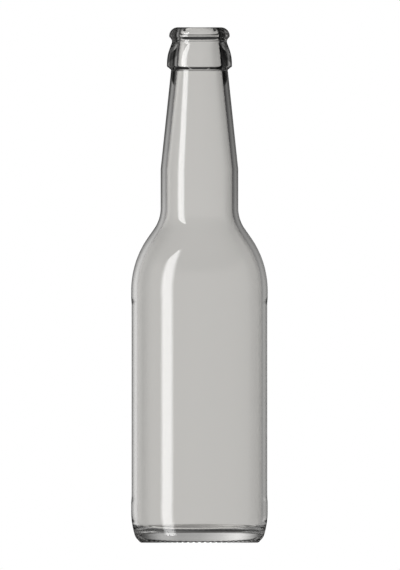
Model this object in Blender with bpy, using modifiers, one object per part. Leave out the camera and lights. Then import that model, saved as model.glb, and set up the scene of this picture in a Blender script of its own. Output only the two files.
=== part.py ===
"""An empty long-neck glass bottle with a crown finish, standing open.

Metres, +Z up.  The origin is the middle of the base, on the surface that the bottle stands on.
The whole bottle is one piece of glass: one turned wall, with small bars moulded round its foot.
"""
import math

import bmesh
import bpy

MM = 0.001

# Driving dimensions, from the mouth down
HEIGHT = 229.0 * MM
BORE_RADIUS = 8.8 * MM              # the opening in the finish
LIP_RADIUS = 9.6 * MM               # the highest circle of the rim
LIP_INNER_ROUND = 0.75 * MM
BEAD_RADIUS = 13.45 * MM            # the bead that a crown cap grips
BEAD_ROUND = 3.85 * MM
BEAD_EDGE_ROUND = 0.9 * MM
GROOVE_RADIUS = 12.23 * MM
GROOVE_HEIGHT = 222.62 * MM
GROOVE_ROUND = 2.3 * MM
COLLAR_RADIUS = 14.45 * MM
COLLAR_HEIGHT = 212.9 * MM          # where the collar is widest
COLLAR_SWELL = 18.5 * MM            # radius of the collar's long swell, seen from the side
COLLAR_STRAIGHT = 0.9 * MM          # from the widest circle down to the lower corner
COLLAR_ROUND = 0.95 * MM
COLLAR_FILLET = 0.6 * MM
NECK_TOP_RADIUS = 12.62 * MM
NECK_TOP_HEIGHT = 209.85 * MM
NECK_RADIUS = 17.24 * MM            # the straight lower neck
NECK_TAPER_FOOT = 165.9 * MM        # where the neck stops widening
BORE_FOOT = 220.8 * MM              # where the neck's hollow has narrowed to the bore
NECK_ROOT_ROUND = 16.0 * MM         # hollow curve from the neck into the shoulder
SHOULDER_ROUND = 41.0 * MM          # full curve from the shoulder into the body
SHOULDER_SLOPE = 35.0               # degrees from upright, at the steepest
SHOULDER_FOOT = 112.0 * MM
BODY_RADIUS = 30.33 * MM            # the two bands above and below the label panel
WALL = 2.6 * MM

# The panel for a label is set back a little between the two bands
PANEL_RADIUS = 30.12 * MM
PANEL_TOP = 105.6 * MM
PANEL_FOOT = 20.8 * MM
PANEL_STEP = 4.0 * MM               # height of the soft step at each end of the panel

# The heel draws in slowly, then turns under to the foot
HEEL_TOP = 14.0 * MM
HEEL_SWELL = 36.0 * MM
HEEL_SWELL_SLOPE = 17.0             # degrees from upright, where the tight turn begins
HEEL_ROUND = 4.5 * MM
HEEL_SLOPE = 42.0                   # degrees from upright, where it meets the foot
FOOT_INNER_RADIUS = 23.6 * MM
PUSH_UP = 2.2 * MM                  # height of the underside at its middle
PUSH_UP_ROUND = 1.6 * MM
FLOOR_MIDDLE = 7.9 * MM             # the floor inside is slightly domed
FLOOR_EDGE = 4.9 * MM
FLOOR_CORNER = 4.5 * MM

# Small bars moulded round the foot, which the bottle stands on
FOOT_BARS = 62
FOOT_BAR_WIDTH = 1.3 * MM
FOOT_BAR_HEIGHT = 0.35 * MM
FOOT_BAR_ROOT = 0.5 * MM            # how far each bar reaches into the wall
FOOT_BAR_LENGTH = 2.2 * MM

TURN_STEPS = 48
GLASS_COLOUR = (0.76, 0.76, 0.75, 1.0)
GLASS_ROUGHNESS = 0.02
GLASS_IOR = 1.52


def arc(centre, radius, start, end, count):
    """Points on a circular arc; degrees, 0 is outwards from the axis and 90 is up."""
    points = []
    for step in range(count):
        angle = math.radians(start + (end - start) * step / (count - 1))
        points.append((centre[0] + radius * math.cos(angle), centre[1] + radius * math.sin(angle)))
    return points


def ease(start, end, count):
    """Points on a soft step between two radii; both ends run along the wall."""
    points = []
    for step in range(count):
        part = step / (count - 1)
        turn = (1 - math.cos(math.pi * part)) / 2
        points.append((start[0] + (end[0] - start[0]) * turn, start[1] + (end[1] - start[1]) * part))
    return points


def dome(edge_radius, edge_height, middle_height, count):
    """Points from the axis out to the edge of a shallow dome."""
    rise = middle_height - edge_height
    radius = (edge_radius ** 2 + rise ** 2) / (2 * rise)
    spread = math.degrees(math.asin(edge_radius / radius))
    return arc((0.0, middle_height - radius), radius, 90.0, 90.0 - spread, count)


def shoulder_heights():
    """Height of the centre of the neck root's curve, so that the two curves share one slope."""
    slope = math.radians(SHOULDER_SLOPE)
    out_by_curves = (NECK_ROOT_ROUND + SHOULDER_ROUND) * (1 - math.cos(slope))
    straight = (BODY_RADIUS - NECK_RADIUS - out_by_curves) / math.tan(slope)
    return SHOULDER_FOOT + (NECK_ROOT_ROUND + SHOULDER_ROUND) * math.sin(slope) + straight


def shoulder_curves(offset, root_points, full_points):
    """Neck root and shoulder from the top down, moved inwards by the given offset."""
    root_centre = (NECK_RADIUS + NECK_ROOT_ROUND, shoulder_heights())
    full_centre = (BODY_RADIUS - SHOULDER_ROUND, SHOULDER_FOOT)
    root = arc(root_centre, NECK_ROOT_ROUND + offset, 180.0, 180.0 + SHOULDER_SLOPE, root_points)
    full = arc(full_centre, SHOULDER_ROUND - offset, SHOULDER_SLOPE, 0.0, full_points)
    return root + full


def inside():
    """The hollow, from the middle of its floor up to the inner edge of the lip."""
    wall_radius = BODY_RADIUS - WALL
    corner_radius = wall_radius - FLOOR_CORNER
    points = dome(corner_radius, FLOOR_EDGE, FLOOR_MIDDLE, 4)
    points += arc((corner_radius, FLOOR_EDGE + FLOOR_CORNER), FLOOR_CORNER, -80.0, 0.0, 4)
    points += reversed(shoulder_curves(WALL, 5, 7))
    points.append((NECK_RADIUS - WALL, NECK_TAPER_FOOT))
    points.append((BORE_RADIUS, BORE_FOOT))
    lip_centre = (BORE_RADIUS + LIP_INNER_ROUND, HEIGHT - LIP_INNER_ROUND)
    points += arc(lip_centre, LIP_INNER_ROUND, 180.0, 90.0, 4)[:-1]
    return points


def finish():
    """The outside of the finish: lip, bead, groove and collar, down to the neck."""
    points = arc((LIP_RADIUS, HEIGHT - BEAD_ROUND), BEAD_ROUND, 90.0, 0.0, 6)
    edge_centre = (BEAD_RADIUS - BEAD_EDGE_ROUND, HEIGHT - BEAD_ROUND)
    points += arc(edge_centre, BEAD_EDGE_ROUND, -30.0, -60.0, 2)
    points += arc((GROOVE_RADIUS + GROOVE_ROUND, GROOVE_HEIGHT), GROOVE_ROUND, 145.0, 208.0, 5)
    points += arc((COLLAR_RADIUS - COLLAR_SWELL, COLLAR_HEIGHT), COLLAR_SWELL, 22.0, 0.0, 5)
    corner_centre = (COLLAR_RADIUS - COLLAR_ROUND, COLLAR_HEIGHT - COLLAR_STRAIGHT)
    points += arc(corner_centre, COLLAR_ROUND, 0.0, -75.0, 4)
    fillet_centre = (NECK_TOP_RADIUS + COLLAR_FILLET, NECK_TOP_HEIGHT)
    points += arc(fillet_centre, COLLAR_FILLET, 110.0, 180.0, 3)
    return points


def body():
    """The outside from the foot of the neck's taper down to the heel."""
    points = [(NECK_RADIUS, NECK_TAPER_FOOT)]
    points += shoulder_curves(0.0, 5, 8)
    points += ease((BODY_RADIUS, PANEL_TOP + PANEL_STEP), (PANEL_RADIUS, PANEL_TOP), 3)
    points += ease((PANEL_RADIUS, PANEL_FOOT), (BODY_RADIUS, PANEL_FOOT - PANEL_STEP), 3)
    return points


def heel():
    """The heel from the body down to the outer edge of the foot."""
    swell_centre = (BODY_RADIUS - HEEL_SWELL, HEEL_TOP)
    points = arc(swell_centre, HEEL_SWELL, 0.0, -HEEL_SWELL_SLOPE, 5)
    turn_start = math.radians(HEEL_SWELL_SLOPE)
    turn_centre = (points[-1][0] - HEEL_ROUND * math.cos(turn_start),
                   points[-1][1] + HEEL_ROUND * math.sin(turn_start))
    points += arc(turn_centre, HEEL_ROUND, -HEEL_SWELL_SLOPE, -HEEL_SLOPE, 4)[1:]
    last_radius, last_height = points[-1]
    reach = (last_height - FOOT_BAR_HEIGHT) * math.tan(math.radians(HEEL_SLOPE))
    points.append((last_radius - reach, FOOT_BAR_HEIGHT))
    return points


def underside():
    """The flat of the foot and the pushed-up underside, in to the axis."""
    round_centre = (FOOT_INNER_RADIUS, FOOT_BAR_HEIGHT + PUSH_UP_ROUND)
    points = arc(round_centre, PUSH_UP_ROUND, -90.0, -150.0, 4)
    edge_radius, edge_height = points[-1]
    points += reversed(dome(edge_radius, edge_height, PUSH_UP, 4)[:-1])
    return points


def on_axis(points):
    """Both ends of the profile lie exactly on the axis, so that the turned wall closes."""
    return [(0.0, points[0][1])] + points[1:-1] + [(0.0, points[-1][1])]


def glass_material():
    """Clear flint glass, slightly grey."""
    material = bpy.data.materials.new("flint_glass")
    material.use_nodes = True
    shader = material.node_tree.nodes["Principled BSDF"]
    shader.inputs["Base Color"].default_value = GLASS_COLOUR
    shader.inputs["Roughness"].default_value = GLASS_ROUGHNESS
    shader.inputs["Metallic"].default_value = 0.0
    shader.inputs["IOR"].default_value = GLASS_IOR
    shader.inputs["Transmission Weight"].default_value = 1.0
    return material


def turned_bottle(collection):
    """The whole wall as one profile turned round the upright axis."""
    points = on_axis(inside() + finish() + body() + heel() + underside())
    mesh = bpy.data.meshes.new("glass_bottle")
    edges = [(index, index + 1) for index in range(len(points) - 1)]
    mesh.from_pydata([(radius, 0.0, height) for radius, height in points], edges, [])
    bottle = bpy.data.objects.new("glass_bottle", mesh)
    collection.objects.link(bottle)
    screw = bottle.modifiers.new("turn", 'SCREW')
    screw.axis = 'Z'
    screw.angle = math.tau
    screw.steps = TURN_STEPS
    screw.render_steps = TURN_STEPS
    screw.use_merge_vertices = True
    screw.merge_threshold = 0.00001
    screw.use_smooth_shade = True
    bottle.data.materials.append(glass_material())
    return bottle


def foot_bars(collection, outer_radius):
    """The ring of small bars, as one mesh that the Boolean joins to the foot."""
    shape = bmesh.new()
    middle = outer_radius - FOOT_BAR_LENGTH / 2
    height = FOOT_BAR_HEIGHT + FOOT_BAR_ROOT
    for index in range(FOOT_BARS):
        bar = bmesh.ops.create_cube(shape, size=1.0)["verts"]
        bmesh.ops.scale(shape, verts=bar, vec=(FOOT_BAR_LENGTH, FOOT_BAR_WIDTH, height))
        bmesh.ops.translate(shape, verts=bar, vec=(middle, 0.0, height / 2))
        for vertex in bar:
            turn = math.tau * index / FOOT_BARS
            x, y, z = vertex.co
            vertex.co = (x * math.cos(turn) - y * math.sin(turn),
                         x * math.sin(turn) + y * math.cos(turn), z)
    mesh = bpy.data.meshes.new("foot_bars")
    shape.to_mesh(mesh)
    shape.free()
    bars = bpy.data.objects.new("foot_bars", mesh)
    bars.hide_render = True
    bars.display_type = 'WIRE'
    collection.objects.link(bars)
    return bars


def main():
    for thing in list(bpy.data.objects):
        bpy.data.objects.remove(thing, do_unlink=True)
    parts = bpy.data.collections.new("long_neck_bottle")
    cutters = bpy.data.collections.new("cutters")
    for collection in (parts, cutters):
        bpy.context.scene.collection.children.link(collection)
    bottle = turned_bottle(parts)
    join = bottle.modifiers.new("foot bars", 'BOOLEAN')
    join.operation = 'UNION'
    join.solver = 'EXACT'
    join.object = foot_bars(cutters, heel()[-1][0])


main()
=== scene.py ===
"""A clear long-neck glass bottle, empty and open, in a bright plain studio.

Laid out as a Blender add-on and run as a script.  Metres, +Z up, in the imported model's own frame.
"""
import math

import bmesh
import bpy
from bpy.props import FloatProperty, IntProperty, PointerProperty, StringProperty
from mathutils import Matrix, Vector


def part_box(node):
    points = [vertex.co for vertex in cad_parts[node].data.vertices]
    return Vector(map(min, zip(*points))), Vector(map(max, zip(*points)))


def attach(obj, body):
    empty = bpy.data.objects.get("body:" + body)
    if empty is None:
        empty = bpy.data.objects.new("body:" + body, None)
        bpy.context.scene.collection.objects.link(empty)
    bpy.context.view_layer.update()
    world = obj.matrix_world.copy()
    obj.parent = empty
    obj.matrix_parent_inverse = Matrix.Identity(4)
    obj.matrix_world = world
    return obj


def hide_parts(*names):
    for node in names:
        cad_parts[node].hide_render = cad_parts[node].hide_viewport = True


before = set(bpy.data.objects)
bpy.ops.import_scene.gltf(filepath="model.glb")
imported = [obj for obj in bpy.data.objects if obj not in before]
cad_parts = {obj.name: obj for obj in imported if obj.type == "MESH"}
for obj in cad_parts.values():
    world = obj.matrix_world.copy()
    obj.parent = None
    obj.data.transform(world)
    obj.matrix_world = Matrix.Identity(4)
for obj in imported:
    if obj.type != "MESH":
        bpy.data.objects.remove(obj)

bl_info = {
    "name": "Long-Neck Glass Bottle",
    "version": (1, 0, 0),
    "blender": (4, 5, 0),
    "location": "3D View > Sidebar > Bottle",
    "description": "Makes a clear long-neck glass bottle and the bright studio it stands in",
    "category": "Add Mesh",
}

NODE = "glass_bottle"
MM = 0.001
CAD_LOW, CAD_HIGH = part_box(NODE)
WELD = 0.001 * MM    # points closer than this are one
BAR_FLANK = 0.31    # steepness of a foot bar's sides, as a part of its wave
WAVES_SCALE = 80.0    # waves to a metre, so each is about 12 mm long
LIGHT_BOUNCES = 32    # the foot and the finish turn light many times
TURNED = 0.5    # a ray's glossy depth is past this once it has turned inside the wall

# Where each round of the finish starts and ends: degrees, 0 is outwards and 90 is up
BEAD_EDGE_TURN = (-12.0, -60.0)
GROOVE_TURN = (145.0, 208.0)
SWELL_TURN = (22.0, 0.0)
COLLAR_TURN = (0.0, -75.0)
FILLET_TURN = (110.0, 180.0)


def length(name, description, millimetres):
    """A size in the interface, given here in millimetres."""
    return FloatProperty(name=name, description=description, default=millimetres * MM,
                         min=0.0, precision=5, subtype='DISTANCE', unit='LENGTH')


def slope(name, description, degrees):
    """An angle in the interface, given here in degrees."""
    return FloatProperty(name=name, description=description, default=math.radians(degrees),
                         subtype='ANGLE', unit='ROTATION')


def amount(name, description, value):
    """A plain number in the interface."""
    return FloatProperty(name=name, description=description, default=value, min=0.0, precision=4)


class FinishSizes(bpy.types.PropertyGroup):
    """The finish: the thick ring at the mouth that a crown cap grips."""
    bore_radius: length("Bore", "Radius of the opening", 8.8)
    lip_radius: length("Lip", "Radius of the highest circle of the rim", 9.6)
    lip_inner_round: length("Lip inner round", "Rounding of the lip towards the bore", 0.75)
    bead_radius: length("Bead", "Widest radius of the bead under the rim", 13.45)
    bead_round: length("Bead round", "Rounding of the bead, seen from the side", 3.85)
    bead_edge_round: length("Bead edge round", "Rounding of the bead's lower edge", 0.9)
    groove_radius: length("Groove", "Least radius between bead and collar", 12.23)
    groove_height: length("Groove height", "Height of the groove's deepest circle", 222.62)
    groove_round: length("Groove round", "Hollow rounding of the groove", 2.3)
    collar_radius: length("Collar", "Widest radius of the collar", 14.45)
    collar_height: length("Collar height", "Height at which the collar is widest", 212.9)
    collar_swell: length("Collar swell", "Radius of the collar's long swell", 18.5)
    collar_straight: length("Collar straight", "Height of the straight under the swell", 0.9)
    collar_round: length("Collar round", "Rounding of the collar's lower corner", 0.95)
    collar_fillet: length("Collar fillet", "Hollow rounding from collar into neck", 0.6)


class BottleSizes(bpy.types.PropertyGroup):
    """The bottle below its finish, from the neck down to the foot."""
    height: length("Height", "From the foot to the rim", (CAD_HIGH.z - CAD_LOW.z) / MM)
    neck_top_radius: length("Neck top", "Radius of the neck under the collar", 12.62)
    neck_top_height: length("Neck top height", "Height of the neck's upper end", 209.85)
    neck_radius: length("Neck", "Radius of the straight lower neck", 17.24)
    neck_taper_foot: length("Taper foot", "Height where the neck stops widening", 165.9)
    bore_foot: length("Bore foot", "Height where the bore becomes straight", 220.8)
    neck_root_round: length("Neck root", "Hollow rounding from neck to shoulder", 16.0)
    shoulder_round: length("Shoulder", "Full rounding from shoulder to body", 41.0)
    shoulder_slope: slope("Shoulder slope", "Steepest slope, from upright", 35.0)
    shoulder_foot: length("Shoulder foot", "Height where the body becomes straight", 112.0)
    body_radius: length("Body", "Radius of the bands round the body",
                        (CAD_HIGH.x - CAD_LOW.x) / 2 / MM)
    wall: length("Wall", "Thickness of the glass", 2.6)
    panel_radius: length("Label panel", "Radius of the set-back panel", 30.12)
    panel_top: length("Panel top", "Height of the panel's upper end", 105.6)
    panel_foot: length("Panel foot", "Height of the panel's lower end", 20.8)
    panel_step: length("Panel step", "Height of the soft step at each end", 4.0)
    heel_top: length("Heel top", "Height where the body starts to draw in", 14.0)
    heel_swell: length("Heel swell", "Radius of the heel's slow curve", 36.0)
    heel_swell_slope: slope("Heel swell slope", "Where the tight turn begins", 17.0)
    heel_round: length("Heel round", "Radius of the tight turn to the foot", 4.5)
    heel_slope: slope("Heel slope", "Slope from upright where the foot begins", 42.0)
    foot_inner_radius: length("Foot inner radius", "Inner edge of the flat foot", 23.6)
    push_up: length("Push-up", "Height of the underside at its middle", 2.2)
    push_up_round: length("Push-up round", "Rounding from the foot into it", 1.6)
    floor_middle: length("Floor middle", "Height of the inside's floor, middle", 7.9)
    floor_edge: length("Floor edge", "Height of the inside's floor at its edge", 4.9)
    floor_corner: length("Floor corner", "Rounding from the floor to the wall", 4.5)
    bars: IntProperty(name="Foot bars", description="Small bars moulded round the foot",
                      default=62, min=3)
    bar_width: length("Bar width", "Width of one bar at the foot", 1.3)
    bar_height: length("Bar height", "How far the bars stand out", 0.35)
    turns_per_bar: IntProperty(name="Steps per bar", description="Mesh columns for each bar",
                               default=6, min=3)


class GlassLook(bpy.types.PropertyGroup):
    """How the glass looks."""
    tint: StringProperty(name="Tint", default="#FDFCFA",
                         description="Colour that each surface leaves in the light, as sRGB hex")
    roughness: amount("Roughness", "Of a fire-polished surface", 0.0)
    index: amount("IOR", "Index of refraction of soda-lime glass", 1.52)


class StudioLook(bpy.types.PropertyGroup):
    """The light round the bottle."""
    softbox_brightness: amount("Softbox", "Brightness of the tall softbox", 7.8)
    floor_colour: StringProperty(name="Floor", default="#FFFFFF",
                                 description="Colour of the plain pale floor, as sRGB hex")


def linear(hex_colour):
    """An sRGB hex colour as linear red, green, blue and full alpha."""
    channels = [int(hex_colour[index:index + 2], 16) / 255 for index in (1, 3, 5)]
    return [value / 12.92 if value <= 0.04045 else ((value + 0.055) / 1.055) ** 2.4
            for value in channels] + [1.0]


def add_node(tree, kind, inputs=(), **settings):
    """Adds a node, sets it up, and links or fills its inputs."""
    node = tree.nodes.new(kind)
    for name, value in settings.items():
        setattr(node, name, value)
    for key, value in dict(inputs).items():
        if isinstance(value, bpy.types.NodeSocket):
            tree.links.new(value, node.inputs[key])
        else:
            node.inputs[key].default_value = value
    return node


def arc(centre, radius, start, end, step=6.0):
    """Points on a circular arc, a step apart; degrees, 0 is outwards and 90 is up."""
    count = max(2, round(abs(end - start) / step) + 1)
    points = []
    for index in range(count):
        angle = math.radians(start + (end - start) * index / (count - 1))
        points.append((centre[0] + radius * math.cos(angle), centre[1] + radius * math.sin(angle)))
    return points


def ease(start, end, count):
    """Points on a soft step between two radii; both ends run along the wall."""
    points = []
    for index in range(count):
        part = index / (count - 1)
        turn = (1 - math.cos(math.pi * part)) / 2
        points.append((start[0] + (end[0] - start[0]) * turn,
                       start[1] + (end[1] - start[1]) * part))
    return points


def dome(edge_radius, edge_height, middle_height, count):
    """Points from the axis out to the edge of a shallow dome."""
    rise = middle_height - edge_height
    radius = (edge_radius ** 2 + rise ** 2) / (2 * rise)
    spread = math.degrees(math.asin(edge_radius / radius))
    return arc((0.0, middle_height - radius), radius, 90.0, 90.0 - spread, spread / (count - 1))


def hold_straights(points, hold=0.4 * MM, longest=4.0 * MM):
    """Adds a point close to each end of a long straight, so that shading keeps it straight."""
    held = [points[0]]
    for start, end in zip(points, points[1:]):
        reach = math.dist(start, end)
        if reach > longest:
            for part in (hold / reach, 1 - hold / reach):
                held.append((start[0] + (end[0] - start[0]) * part,
                             start[1] + (end[1] - start[1]) * part))
        held.append(end)
    return held


def shoulder_curves(sizes, offset):
    """Neck root and shoulder from the top down, moved inwards by the given offset."""
    degrees = math.degrees(sizes.shoulder_slope)
    both = sizes.neck_root_round + sizes.shoulder_round
    out_by_curves = both * (1 - math.cos(sizes.shoulder_slope))
    cone = (sizes.body_radius - sizes.neck_radius - out_by_curves) / math.tan(sizes.shoulder_slope)
    root_height = sizes.shoulder_foot + both * math.sin(sizes.shoulder_slope) + cone
    root = arc((sizes.neck_radius + sizes.neck_root_round, root_height),
               sizes.neck_root_round + offset, 180.0, 180.0 + degrees, 3.0)
    full = arc((sizes.body_radius - sizes.shoulder_round, sizes.shoulder_foot),
               sizes.shoulder_round - offset, degrees, 0.0, 2.0)
    return root + full


def inside_profile(sizes, finish):
    """The hollow, from the middle of its floor up to the inner edge of the lip."""
    corner_radius = sizes.body_radius - sizes.wall - sizes.floor_corner
    points = dome(corner_radius, sizes.floor_edge, sizes.floor_middle, 9)
    points += arc((corner_radius, sizes.floor_edge + sizes.floor_corner), sizes.floor_corner,
                  -84.0, 0.0, 12.0)
    points += reversed(shoulder_curves(sizes, sizes.wall))
    points.append((sizes.neck_radius - sizes.wall, sizes.neck_taper_foot))
    points.append((finish.bore_radius, sizes.bore_foot))
    lip_centre = (finish.bore_radius + finish.lip_inner_round,
                  sizes.height - finish.lip_inner_round)
    points += arc(lip_centre, finish.lip_inner_round, 180.0, 90.0, 6.0)[:-1]
    return points


def finish_profile(sizes, finish):
    """The outside of the finish: lip, bead, groove and collar, down to the neck."""
    bead_height = sizes.height - finish.bead_round
    points = arc((finish.lip_radius, bead_height), finish.bead_round, 90.0, 0.0, 4.0)
    points += arc((finish.bead_radius - finish.bead_edge_round, bead_height),
                  finish.bead_edge_round, *BEAD_EDGE_TURN, 8.0)
    points += arc((finish.groove_radius + finish.groove_round, finish.groove_height),
                  finish.groove_round, *GROOVE_TURN, 5.0)
    points += arc((finish.collar_radius - finish.collar_swell, finish.collar_height),
                  finish.collar_swell, *SWELL_TURN, 2.0)
    points += arc((finish.collar_radius - finish.collar_round,
                   finish.collar_height - finish.collar_straight),
                  finish.collar_round, *COLLAR_TURN, 7.5)
    points += arc((sizes.neck_top_radius + finish.collar_fillet, sizes.neck_top_height),
                  finish.collar_fillet, *FILLET_TURN, 7.0)
    return points


def body_profile(sizes):
    """The outside from the foot of the neck's taper down to the heel."""
    points = [(sizes.neck_radius, sizes.neck_taper_foot)]
    points += shoulder_curves(sizes, 0.0)
    points += ease((sizes.body_radius, sizes.panel_top + sizes.panel_step),
                   (sizes.panel_radius, sizes.panel_top), 8)
    points += ease((sizes.panel_radius, sizes.panel_foot),
                   (sizes.body_radius, sizes.panel_foot - sizes.panel_step), 8)
    return points


def heel_profile(sizes):
    """The heel from the body down to the outer edge of the foot."""
    swell_slope = math.degrees(sizes.heel_swell_slope)
    points = arc((sizes.body_radius - sizes.heel_swell, sizes.heel_top), sizes.heel_swell,
                 0.0, -swell_slope, 2.0)
    turn_centre = (points[-1][0] - sizes.heel_round * math.cos(sizes.heel_swell_slope),
                   points[-1][1] + sizes.heel_round * math.sin(sizes.heel_swell_slope))
    points += arc(turn_centre, sizes.heel_round, -swell_slope, -math.degrees(sizes.heel_slope),
                  5.0)[1:]
    last_radius, last_height = points[-1]
    reach = (last_height - sizes.bar_height) * math.tan(sizes.heel_slope)
    points.append((last_radius - reach, sizes.bar_height))
    return points


def underside_profile(sizes, foot_radius):
    """The flat of the foot and the pushed-up underside, in to the axis."""
    flat_points = 7
    width = foot_radius - sizes.foot_inner_radius
    points = [(foot_radius - width * (index + 1) / (flat_points + 1), sizes.bar_height)
              for index in range(flat_points)]
    points += arc((sizes.foot_inner_radius, sizes.bar_height + sizes.push_up_round),
                  sizes.push_up_round, -90.0, -150.0, 10.0)
    edge_radius, edge_height = points[-1]
    points += reversed(dome(edge_radius, edge_height, sizes.push_up, 9)[:-1])
    return points


def bottle_profile(sizes, finish):
    """The whole outline, from the middle of the floor inside round to the middle below."""
    heel = heel_profile(sizes)
    points = hold_straights(inside_profile(sizes, finish) + finish_profile(sizes, finish)
                            + body_profile(sizes) + heel)
    points += underside_profile(sizes, heel[-1][0])
    points[0] = (0.0, points[0][1])
    points[-1] = (0.0, points[-1][1])
    return points, heel[-1][0]


def turning_tree():
    """Geometry Nodes: turns the outline round the axis and lowers the bars out of the foot."""
    tree = bpy.data.node_groups.new("turned_bottle", 'GeometryNodeTree')
    tree.is_modifier = True
    face = tree.interface
    face.new_socket("Outline", in_out='INPUT', socket_type='NodeSocketGeometry')
    face.new_socket("Columns", in_out='INPUT', socket_type='NodeSocketInt')
    for name in ("Bars", "Wave Foot", "Wave Top", "Bar Middle", "Bar End", "Bar Flat", "Bar Limit",
                 "Bar Drop"):
        face.new_socket(name, in_out='INPUT', socket_type='NodeSocketFloat')
    face.new_socket("Glass", in_out='INPUT', socket_type='NodeSocketMaterial')
    face.new_socket("Bottle", in_out='OUTPUT', socket_type='NodeSocketGeometry')
    given = add_node(tree, 'NodeGroupInput').outputs

    # A flat sheet: one column for each step of the turn and one row for each outline point
    rows = add_node(tree, 'GeometryNodeAttributeDomainSize', {0: given["Outline"]}).outputs[0]
    sheet = add_node(tree, 'GeometryNodeMeshGrid', {
        "Size X": math.tau, "Size Y": 1.0, "Vertices X": given["Columns"], "Vertices Y": rows})
    place = add_node(tree, 'GeometryNodeInputPosition').outputs[0]
    turn = add_node(tree, 'ShaderNodeSeparateXYZ', {0: place}).outputs["X"]
    index = add_node(tree, 'GeometryNodeInputIndex').outputs[0]
    row = add_node(tree, 'ShaderNodeMath', {0: index, 1: rows}, operation='MODULO').outputs[0]
    sampled = add_node(tree, 'GeometryNodeSampleIndex', {
        0: given["Outline"], "Value": place, "Index": row}, data_type='FLOAT_VECTOR').outputs[0]
    turned = add_node(tree, 'ShaderNodeVectorRotate', {"Vector": sampled, "Angle": turn},
                      rotation_type='Z_AXIS').outputs[0]

    # The bars: a flat-topped wave round the foot, faded out towards the foot's two edges
    outline = add_node(tree, 'ShaderNodeSeparateXYZ', {0: sampled}).outputs
    swing = add_node(tree, 'ShaderNodeMath', {0: turn, 1: given["Bars"]}, operation='MULTIPLY')
    wave = add_node(tree, 'ShaderNodeMath', {0: swing.outputs[0]}, operation='COSINE').outputs[0]
    bar = add_node(tree, 'ShaderNodeMapRange', {
        "Value": wave, "From Min": given["Wave Foot"], "From Max": given["Wave Top"],
        "To Max": given["Bar Drop"]}, interpolation_type='SMOOTHSTEP').outputs[0]
    aside = add_node(tree, 'ShaderNodeMath', {0: outline["X"], 1: given["Bar Middle"]},
                     operation='SUBTRACT').outputs[0]
    away = add_node(tree, 'ShaderNodeMath', {0: aside}, operation='ABSOLUTE').outputs[0]
    faded = add_node(tree, 'ShaderNodeMapRange', {
        "Value": away, "From Min": given["Bar End"], "From Max": given["Bar Flat"],
        "To Max": bar}, interpolation_type='SMOOTHSTEP').outputs[0]
    below = add_node(tree, 'ShaderNodeMath', {0: outline["Z"], 1: given["Bar Limit"]},
                     operation='LESS_THAN').outputs[0]
    drop = add_node(tree, 'ShaderNodeMath', {0: faded, 1: below}, operation='MULTIPLY').outputs[0]
    lowered = add_node(tree, 'ShaderNodeCombineXYZ', {"Z": drop}).outputs[0]

    placed = add_node(tree, 'GeometryNodeSetPosition', {
        "Geometry": sheet.outputs["Mesh"], "Position": turned, "Offset": lowered})
    closed = add_node(tree, 'GeometryNodeMergeByDistance', {
        "Geometry": placed.outputs[0], "Distance": WELD})
    smooth = add_node(tree, 'GeometryNodeSetShadeSmooth', {0: closed.outputs[0]})
    real = add_node(tree, 'GeometryNodeRealizeInstances', {0: smooth.outputs[0]})
    finished = add_node(tree, 'GeometryNodeSetMaterial', {
        "Geometry": real.outputs[0], "Material": given["Glass"]})
    add_node(tree, 'NodeGroupOutput', {0: finished.outputs[0]})
    return tree


def flint_glass(look):
    """Flint soda-lime container glass, blown in a mould and fire-polished.

    It is clear with a faint grey cast, smooth and glossy, with very slight waves from the mould.
    """
    material = bpy.data.materials.new("flint_container_glass")
    material.use_nodes = True
    tree = material.node_tree
    tree.nodes.clear()
    place = add_node(tree, 'ShaderNodeTexCoord').outputs["Object"]
    # The waves are a few thousandths of a millimetre high
    waves = add_node(tree, 'ShaderNodeTexNoise', {
        "Vector": place, "Scale": WAVES_SCALE, "Detail": 1.0})
    bump = add_node(tree, 'ShaderNodeBump', {
        "Strength": 0.1, "Distance": 0.1 * MM, "Height": waves.outputs[0]})
    shader = add_node(tree, 'ShaderNodeBsdfPrincipled', {
        "Base Color": linear(look.tint), "Roughness": look.roughness, "IOR": look.index,
        "Transmission Weight": 1.0, "Normal": bump.outputs[0]})
    add_node(tree, 'ShaderNodeOutputMaterial', {"Surface": shader.outputs[0]})
    return material


def turned_glass(context):
    """Turns the outline into one closed mesh and returns its object."""
    sizes = context.scene.bottle_sizes
    finish = context.scene.bottle_finish
    points, foot_radius = bottle_profile(sizes, finish)
    outline = bpy.data.meshes.new("bottle_outline")
    edges = [(index, index + 1) for index in range(len(points) - 1)]
    outline.from_pydata([(radius, 0.0, height) for radius, height in points], edges, [])
    maker = bpy.data.objects.new("bottle_outline", outline)
    context.scene.collection.objects.link(maker)
    modifier = maker.modifiers.new("turn", 'NODES')
    tree = turning_tree()
    pitch = math.tau * foot_radius / sizes.bars
    flank = math.cos(math.pi * sizes.bar_width / pitch)
    foot_width = foot_radius - sizes.foot_inner_radius
    values = {"Columns": sizes.bars * sizes.turns_per_bar + 1, "Bars": float(sizes.bars),
              "Wave Foot": flank - BAR_FLANK, "Wave Top": flank + BAR_FLANK,
              "Bar Middle": sizes.foot_inner_radius + foot_width / 2, "Bar End": foot_width / 2,
              "Bar Flat": foot_width / 4, "Bar Limit": sizes.bar_height * 1.05,
              "Bar Drop": -sizes.bar_height, "Glass": flint_glass(context.scene.bottle_glass)}
    for socket in tree.interface.items_tree:
        if socket.in_out == 'INPUT' and socket.name in values:
            values[socket.identifier] = values.pop(socket.name)
    modifier.node_group = tree
    for identifier, value in values.items():
        modifier[identifier] = value
    ready = maker.evaluated_get(context.evaluated_depsgraph_get())
    mesh = bpy.data.meshes.new_from_object(ready)
    bpy.data.objects.remove(maker)
    bottle = bpy.data.objects.new("clear_glass_bottle", mesh)
    context.scene.collection.objects.link(bottle)
    return bottle


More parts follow.
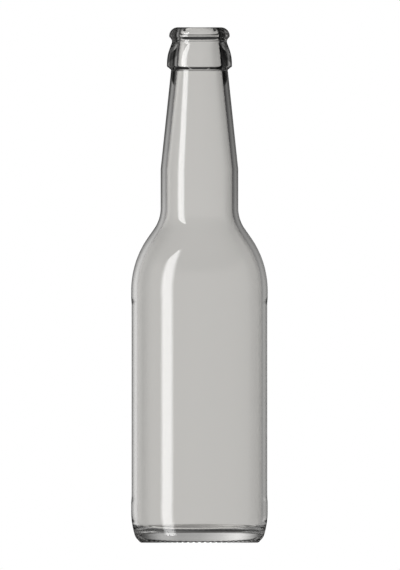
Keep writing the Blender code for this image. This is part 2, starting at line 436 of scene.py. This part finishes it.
def close_check(bottle):
    """Raises an error unless the mesh is one closed body; turns its faces outwards."""
    shape = bmesh.new()
    shape.from_mesh(bottle.data)
    if any(len(edge.link_faces) != 2 for edge in shape.edges):
        raise RuntimeError("the turned bottle isn't closed")
    if shape.calc_volume(signed=True) < 0.0:
        bmesh.ops.reverse_faces(shape, faces=shape.faces)
        shape.to_mesh(bottle.data)
    shape.free()


class BOTTLE_OT_make_glass(bpy.types.Operator):
    """Make the glass bottle: wall, finish, foot and the bars round the foot"""
    bl_idname = "bottle.make_glass"
    bl_label = "Glass Bottle"

    def execute(self, context):
        bottle = turned_glass(context)
        close_check(bottle)
        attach(bottle, "root")
        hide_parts(NODE)
        return {'FINISHED'}


def by_stops(tree, value, stops):
    """A value's brightness, straight between (value, brightness) stops."""
    low, high = stops[0][0], stops[-1][0]
    part = add_node(tree, 'ShaderNodeMapRange', {0: value, 1: low, 2: high}).outputs[0]
    ramp = add_node(tree, 'ShaderNodeValToRGB', {0: part})
    elements = ramp.color_ramp.elements
    elements.remove(elements[1])
    for place, brightness in stops:
        element = elements[0] if place == low else elements.new((place - low) / (high - low))
        element.color = (brightness, brightness, brightness, 1.0)
    return add_node(tree, 'ShaderNodeSeparateColor', {0: ramp.outputs[0]}).outputs[0]


def round_and_up(tree, direction):
    """The two angles of a direction in degrees: round the bottle and up."""
    parts = add_node(tree, 'ShaderNodeSeparateXYZ', {0: direction}).outputs
    turn = add_node(tree, 'ShaderNodeMath', {0: parts["X"], 1: parts["Y"]}, operation='ARCTAN2')
    rise = add_node(tree, 'ShaderNodeMath', {0: parts["Z"]}, operation='ARCSINE')
    return [add_node(tree, 'ShaderNodeMath', {0: node.outputs[0]}, operation='DEGREES').outputs[0]
            for node in (turn, rise)]


# Stops of brightness by direction: degrees, 0 is behind the bottle and + is to the right or up.
# The surround is what shows straight through the glass, round the bottle and up
SURROUND_ROUND = ((-180.0, 0.62), (-60.0, 0.62), (-30.0, 0.75), (-20.0, 0.85), (-15.0, 0.7),
                  (-11.0, 0.63), (0.0, 0.625), (8.0, 0.585), (15.0, 0.47), (25.0, 0.48),
                  (60.0, 0.62), (180.0, 0.62))
SURROUND_UP = ((-90.0, 1.0), (19.0, 1.0), (33.0, 0.1), (90.0, 0.02))
# The gaps between the dark flags show only in light that turned inside the wall
GAPS_ROUND = ((-180.0, 0.35), (-75.0, 0.35), (-62.0, 0.1), (-50.0, 0.38), (-41.0, 0.6),
              (-34.0, 0.78), (-28.0, 0.87), (-22.0, 0.78), (-14.0, 0.6), (0.0, 0.42),
              (14.0, 0.38), (22.0, 0.48), (28.0, 0.45), (38.0, 0.28), (47.0, 0.14), (60.0, 0.03),
              (75.0, 0.35), (180.0, 0.35))
GAPS_UP = ((-90.0, 0.15), (-42.0, 0.15), (-32.0, 0.1), (-20.0, 1.0), (20.0, 1.0), (32.0, 0.1),
           (90.0, 0.0))


def studio_world(scene):
    """White in the open, a grey card through the glass, and dark flags round its edges."""
    world = bpy.data.worlds.new("bright_studio")
    world.use_nodes = True
    tree = world.node_tree
    tree.nodes.clear()
    direction = add_node(tree, 'ShaderNodeTexCoord').outputs["Generated"]
    turn, rise = round_and_up(tree, direction)
    # Seen straight through the wall: a grey card all round, with a dark ceiling
    through = add_node(tree, 'ShaderNodeMath', {
        0: by_stops(tree, turn, SURROUND_ROUND), 1: by_stops(tree, rise, SURROUND_UP)},
        operation='MULTIPLY').outputs[0]
    # Seen after a turn inside the wall: dark flags, with narrow gaps behind the bottle
    turned = add_node(tree, 'ShaderNodeMath', {
        0: by_stops(tree, turn, GAPS_ROUND), 1: by_stops(tree, rise, GAPS_UP)},
        operation='MULTIPLY').outputs[0]
    path = add_node(tree, 'ShaderNodeLightPath').outputs
    inner = add_node(tree, 'ShaderNodeMath', {0: path["Glossy Depth"], 1: TURNED},
                     operation='GREATER_THAN').outputs[0]
    in_glass = add_node(tree, 'ShaderNodeMix', {0: inner, 2: through, 3: turned}).outputs[0]
    lit = add_node(tree, 'ShaderNodeMath', {0: in_glass, 1: path["Is Transmission Ray"]},
                   operation='MULTIPLY').outputs[0]
    open_air = add_node(tree, 'ShaderNodeMath', {
        0: path["Is Camera Ray"], 1: path["Is Diffuse Ray"]}, operation='MAXIMUM').outputs[0]
    seen = add_node(tree, 'ShaderNodeMath', {0: lit, 1: open_air}, operation='MAXIMUM').outputs[0]
    background = add_node(tree, 'ShaderNodeBackground', {"Color": (1, 1, 1, 1), "Strength": seen})
    add_node(tree, 'ShaderNodeOutputWorld', {0: background.outputs[0]})
    scene.world = world


SCRIM_RADIUS = 0.05
SCRIM_TOP = 0.26
ROUND_STEPS = 96    # sides of the scrim's ring and of the round floor
# How much light the scrim lets through, by height in metres: of what shows straight through the
# glass, and of the light that turned inside the wall, beside the bottle and behind it
SCRIM_HOOD = ((0.0, 0.945), (0.12, 0.945), (0.15, 1.0), (0.231, 1.0), (0.239, 0.1), (0.26, 0.05))
SCRIM_BESIDE = ((0.0, 1.0), (0.115, 1.0), (0.156, 0.62), (0.2, 0.42), (0.26, 0.42))
SCRIM_BEHIND = ((0.0, 1.0), (0.115, 1.0), (0.156, 0.5), (0.2, 0.27), (0.26, 0.2))
SCRIM_IS_BEHIND = ((-180.0, 0.0), (-39.0, 0.0), (-29.0, 1.0), (29.0, 1.0), (39.0, 0.0),
                   (180.0, 0.0))
# Round the finish it is dark but for narrow gaps, given by direction in degrees
SCRIM_FINISH = ((-180.0, 0.8), (-84.0, 0.5), (-78.0, 0.3), (-70.0, 0.9), (-64.0, 0.9),
                (-58.0, 0.4), (-52.0, 0.05), (-48.0, 0.02), (-38.0, 0.02), (-30.0, 0.15),
                (-10.0, 0.2), (-5.0, 0.3), (5.0, 0.7), (12.0, 0.7), (22.0, 0.22), (30.0, 0.02),
                (52.0, 0.02), (58.0, 0.1), (64.0, 0.25), (70.0, 0.2), (76.0, 0.04), (84.0, 0.1),
                (100.0, 0.5), (180.0, 0.8))
SCRIM_FINISH_UP = ((0.0, 0.45), (0.2155, 0.45), (0.2165, 1.0), (0.26, 1.0))
SCRIM_IS_FINISH = ((0.0, 0.0), (0.2062, 0.0), (0.2067, 1.0), (0.26, 1.0))


def graded_scrim(scene):
    """A ring of dark scrim that dims only the edges of the glass, more so round the finish."""
    shape = bmesh.new()
    bmesh.ops.create_circle(shape, segments=ROUND_STEPS, radius=SCRIM_RADIUS)
    raised = bmesh.ops.extrude_edge_only(shape, edges=shape.edges[:])["geom"]
    bmesh.ops.translate(shape, vec=(0.0, 0.0, SCRIM_TOP),
                        verts=[part for part in raised if isinstance(part, bmesh.types.BMVert)])
    mesh = bpy.data.meshes.new("graded_scrim")
    shape.to_mesh(mesh)
    shape.free()
    material = bpy.data.materials.new("dark_graded_scrim")
    material.use_nodes = True
    tree = material.node_tree
    tree.nodes.clear()
    place = add_node(tree, 'ShaderNodeTexCoord').outputs["Object"]
    turn = round_and_up(tree, place)[0]
    height = add_node(tree, 'ShaderNodeSeparateXYZ', {0: place}).outputs["Z"]
    below = add_node(tree, 'ShaderNodeMix', {
        0: by_stops(tree, turn, SCRIM_IS_BEHIND), 2: by_stops(tree, height, SCRIM_BESIDE),
        3: by_stops(tree, height, SCRIM_BEHIND)}).outputs[0]
    finish = add_node(tree, 'ShaderNodeMath', {
        0: by_stops(tree, turn, SCRIM_FINISH), 1: by_stops(tree, height, SCRIM_FINISH_UP)},
        operation='MULTIPLY').outputs[0]
    graded = add_node(tree, 'ShaderNodeMix', {
        0: by_stops(tree, height, SCRIM_IS_FINISH), 2: below, 3: finish}).outputs[0]
    path = add_node(tree, 'ShaderNodeLightPath').outputs
    inner = add_node(tree, 'ShaderNodeMath', {0: path["Glossy Depth"], 1: TURNED},
                     operation='GREATER_THAN').outputs[0]
    passed = add_node(tree, 'ShaderNodeMix', {
        0: inner, 2: by_stops(tree, height, SCRIM_HOOD), 3: graded}).outputs[0]
    colour = add_node(tree, 'ShaderNodeCombineColor', {0: passed, 1: passed, 2: passed}).outputs[0]
    shader = add_node(tree, 'ShaderNodeBsdfTransparent', {0: colour})
    add_node(tree, 'ShaderNodeOutputMaterial', {0: shader.outputs[0]})
    mesh.materials.append(material)
    scrim = bpy.data.objects.new("graded_scrim", mesh)
    for kind in ("camera", "diffuse", "glossy", "shadow", "volume_scatter"):
        setattr(scrim, "visible_" + kind, False)
    scene.collection.objects.link(scrim)


SOFTBOX_TURN = -123.2    # degrees round the bottle: from behind it, past its left
SOFTBOX_DISTANCE = 2.0
SOFTBOX_WIDTH = 0.95
SOFTBOX_FOOT = -1.5
SOFTBOX_TOP = 2.7
SOFTBOX_DEPTH = 3.5    # it shows in a ray's first three turns
# How bright its cloth is across and up, and how much its top leans
SOFTBOX_SIDES = ((0.0, 0.0), (0.25, 1.0), (0.75, 1.0), (1.0, 0.0))
SOFTBOX_SLANT = -0.34
SOFTBOX_ENDS = ((0.0, 1.0), (0.645, 1.0), (0.665, 0.0), (1.0, 0.0))


def softbox(scene, brightness):
    """A tall softbox with soft sides and a slanted top, which shows only as a highlight."""
    light = bpy.data.lights.new("tall_softbox", 'AREA')
    light.shape = 'RECTANGLE'
    light.size = SOFTBOX_WIDTH
    light.size_y = SOFTBOX_TOP - SOFTBOX_FOOT
    light.energy = math.pi * light.size * light.size_y
    light.use_nodes = True
    tree = light.node_tree
    tree.nodes.clear()
    across, up, _ = add_node(tree, 'ShaderNodeSeparateXYZ', {
        0: add_node(tree, 'ShaderNodeNewGeometry').outputs["Parametric"]}).outputs
    sides = by_stops(tree, across, SOFTBOX_SIDES)
    slant = add_node(tree, 'ShaderNodeMath', {0: across, 1: SOFTBOX_SLANT, 2: up},
                     operation='MULTIPLY_ADD').outputs[0]
    cloth = add_node(tree, 'ShaderNodeMath', {0: sides, 1: by_stops(tree, slant, SOFTBOX_ENDS)},
                     operation='MULTIPLY').outputs[0]
    # Only its first reflections show, in the near wall's surfaces
    depth = add_node(tree, 'ShaderNodeLightPath').outputs["Ray Depth"]
    first = add_node(tree, 'ShaderNodeMath', {0: depth, 1: SOFTBOX_DEPTH},
                     operation='LESS_THAN').outputs[0]
    shown = add_node(tree, 'ShaderNodeMath', {0: cloth, 1: first}, operation='MULTIPLY').outputs[0]
    strength = add_node(tree, 'ShaderNodeMath', {0: shown, 1: brightness}, operation='MULTIPLY')
    glow = add_node(tree, 'ShaderNodeEmission', {"Strength": strength.outputs[0]})
    add_node(tree, 'ShaderNodeOutputLight', {0: glow.outputs[0]})
    holder = bpy.data.objects.new("tall_softbox", light)
    angle = math.radians(SOFTBOX_TURN)
    middle = (SOFTBOX_TOP + SOFTBOX_FOOT) / 2
    holder.location = (math.sin(angle) * SOFTBOX_DISTANCE, math.cos(angle) * SOFTBOX_DISTANCE,
                       middle)
    facing = Vector((0.0, 0.0, middle)) - holder.location
    holder.rotation_euler = facing.to_track_quat('-Z', 'Y').to_euler()
    holder.visible_camera = False
    holder.visible_transmission = False
    holder.visible_diffuse = False
    scene.collection.objects.link(holder)


FLOOR_RADIUS = 3.0
FLOOR_GAP = 0.05 * MM


def studio_floor(scene, colour):
    """A wide round floor of pale matt card, a hair below the foot."""
    shape = bmesh.new()
    bmesh.ops.create_circle(shape, cap_ends=True, segments=ROUND_STEPS, radius=FLOOR_RADIUS)
    bmesh.ops.translate(shape, verts=shape.verts, vec=(0.0, 0.0, CAD_LOW.z - FLOOR_GAP))
    mesh = bpy.data.meshes.new("studio_floor")
    shape.to_mesh(mesh)
    shape.free()
    material = bpy.data.materials.new("pale_matt_card")
    material.use_nodes = True
    tree = material.node_tree
    tree.nodes.clear()
    shader = add_node(tree, 'ShaderNodeBsdfDiffuse', {"Color": linear(colour)})
    add_node(tree, 'ShaderNodeOutputMaterial', {0: shader.outputs[0]})
    mesh.materials.append(material)
    floor = bpy.data.objects.new("studio_floor", mesh)
    scene.collection.objects.link(floor)
    floor.visible_glossy = False
    floor.visible_transmission = False


# The photograph's frame, in pixels
FRAME_WIDTH = 400
FRAME_HEIGHT = 570
BOTTLE_HEIGHT_IN_FRAME = 515.4
BOTTLE_MIDDLE_IN_FRAME = 199.44
CAMERA_DISTANCE = 1.2


def studio_camera(scene):
    """A level camera without perspective, framed as the photograph is."""
    middle = (CAD_LOW.z + CAD_HIGH.z) / 2
    view_height = (CAD_HIGH.z - CAD_LOW.z) * FRAME_HEIGHT / BOTTLE_HEIGHT_IN_FRAME
    camera = bpy.data.cameras.new("studio_camera")
    camera.type = 'ORTHO'
    camera.ortho_scale = view_height
    holder = bpy.data.objects.new("studio_camera", camera)
    aside = (FRAME_WIDTH / 2 - BOTTLE_MIDDLE_IN_FRAME) * view_height / FRAME_HEIGHT
    holder.location = (aside, -CAMERA_DISTANCE, middle)
    holder.rotation_euler = (math.pi / 2, 0.0, 0.0)
    scene.collection.objects.link(holder)
    scene.camera = holder


class BOTTLE_OT_make_studio(bpy.types.Operator):
    """Make the stage: surround, pale floor, dark scrim, softbox and camera"""
    bl_idname = "bottle.make_studio"
    bl_label = "Studio"

    def execute(self, context):
        scene = context.scene
        look = scene.bottle_studio
        studio_world(scene)
        studio_floor(scene, look.floor_colour)
        graded_scrim(scene)
        softbox(scene, look.softbox_brightness)
        studio_camera(scene)
        scene.view_settings.view_transform = 'Standard'
        scene.cycles.max_bounces = LIGHT_BOUNCES
        scene.cycles.transmission_bounces = LIGHT_BOUNCES
        scene.cycles.glossy_bounces = LIGHT_BOUNCES
        return {'FINISHED'}


class BOTTLE_PT_panel(bpy.types.Panel):
    """Lists the bottle's tools and sizes in the sidebar"""
    bl_label = "Long-Neck Bottle"
    bl_idname = "BOTTLE_PT_panel"
    bl_space_type = 'VIEW_3D'
    bl_region_type = 'UI'
    bl_category = "Bottle"

    def draw(self, context):
        layout = self.layout
        for operator in (BOTTLE_OT_make_glass, BOTTLE_OT_make_studio):
            layout.operator(operator.bl_idname)
        for name in GROUPS:
            group = getattr(context.scene, name)
            box = layout.box()
            for key in group.__annotations__:
                box.prop(group, key)


GROUPS = {"bottle_finish": FinishSizes, "bottle_sizes": BottleSizes, "bottle_glass": GlassLook,
          "bottle_studio": StudioLook}
CLASSES = (*GROUPS.values(), BOTTLE_OT_make_glass, BOTTLE_OT_make_studio, BOTTLE_PT_panel)


def register():
    for kind in CLASSES:
        bpy.utils.register_class(kind)
    for name, group in GROUPS.items():
        setattr(bpy.types.Scene, name, PointerProperty(type=group))


def unregister():
    for name in GROUPS:
        delattr(bpy.types.Scene, name)
    for kind in reversed(CLASSES):
        bpy.utils.unregister_class(kind)


def main():
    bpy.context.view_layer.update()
    register()
    bpy.ops.bottle.make_glass()
    bpy.ops.bottle.make_studio()


if __name__ == "__main__":
    main()
